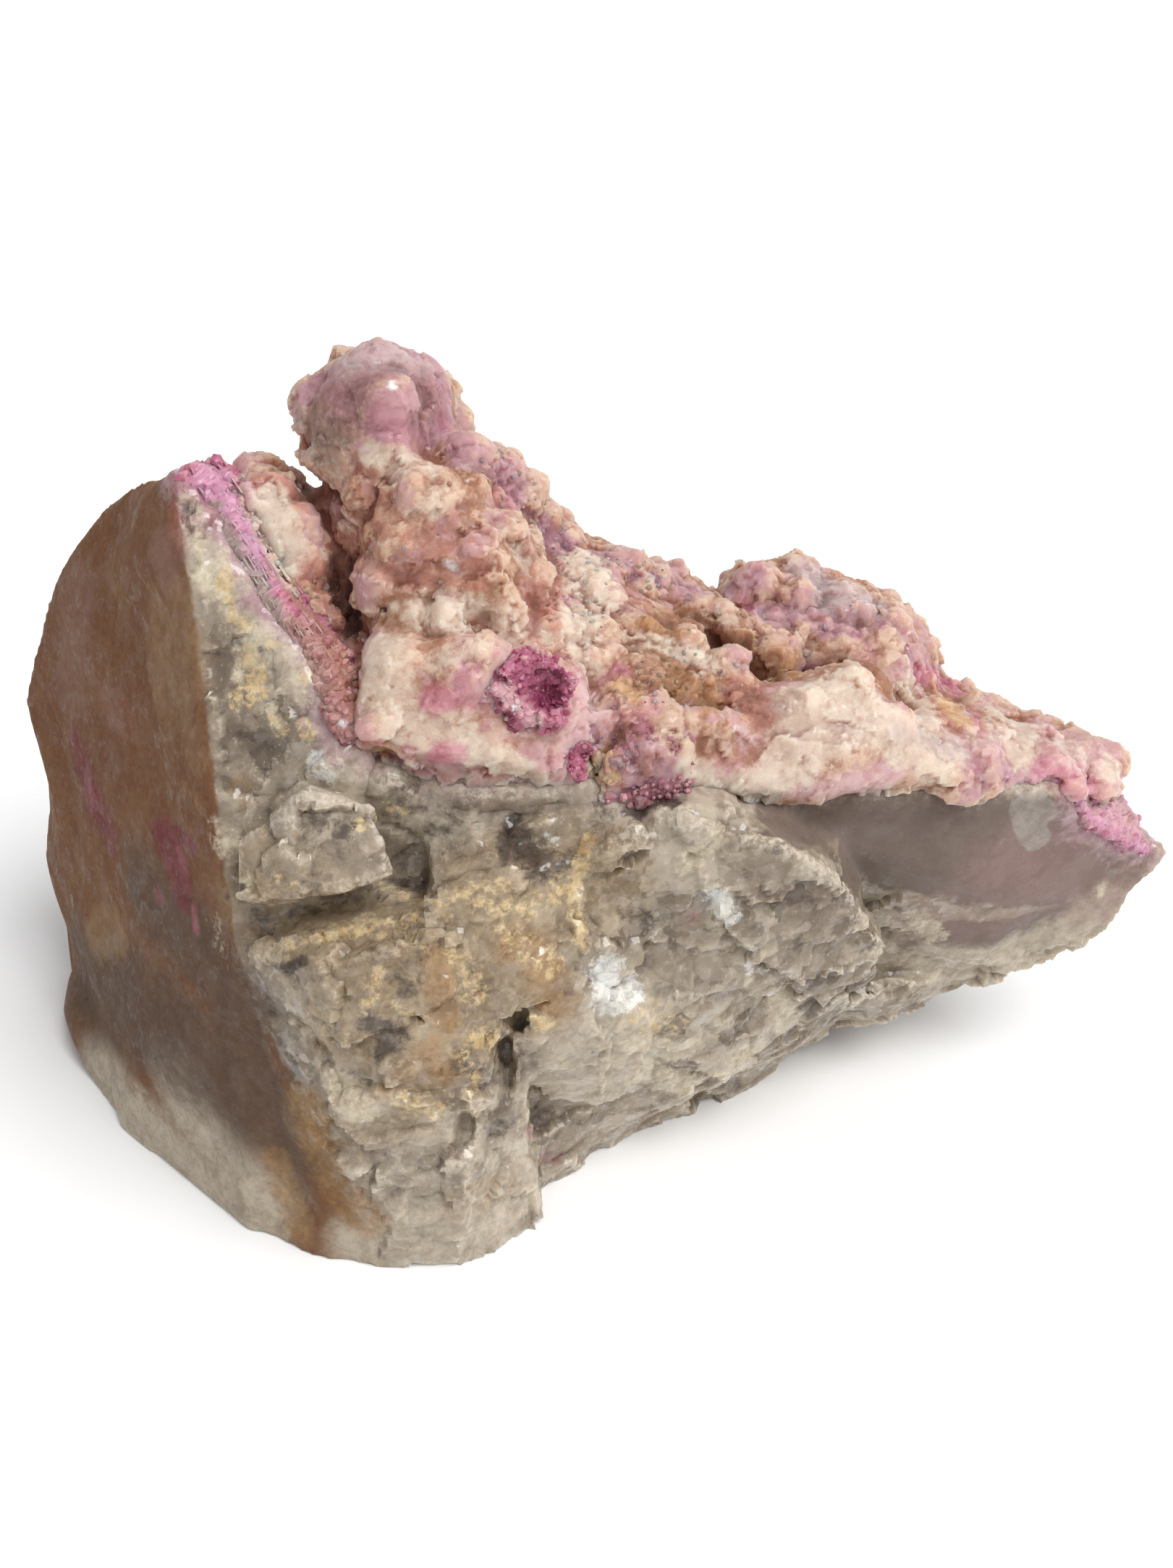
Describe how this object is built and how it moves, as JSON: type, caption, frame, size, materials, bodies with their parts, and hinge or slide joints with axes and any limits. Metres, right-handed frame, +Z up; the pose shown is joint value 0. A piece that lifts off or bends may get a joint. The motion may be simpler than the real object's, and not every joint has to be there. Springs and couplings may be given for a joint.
{
  "type": "mineral specimen",
  "caption": "Broken block of smoky quartz, flat underneath, its sloping top covered by a druse of pale crystals with a tall knob and patches of pink tourmaline.",
  "frame": {"origin": "middle of the footprint box, on the flat break that the stone stands on", "axes": "+X from the tall end wall to the low prow, -Y to the broken front, +Z up"},
  "size_m": [0.1158, 0.0568, 0.0783],
  "materials": {
    "smoky_quartz": "broken glassy to granular, translucent, with rust stains",
    "druse": "granular cream and pink crystals with wet-looking facets",
    "tourmaline": "glassy magenta prisms and fibres"
  },
  "bodies": {
    "root": {"quartz_block": "smoky_quartz", "crystal_crust": "druse", "tourmaline_rim": "tourmaline", "tourmaline_nest": "tourmaline", "tourmaline_eye": "tourmaline", "tourmaline_seam": "tourmaline", "tourmaline_tip": "tourmaline"}
  },
  "joints": []
}
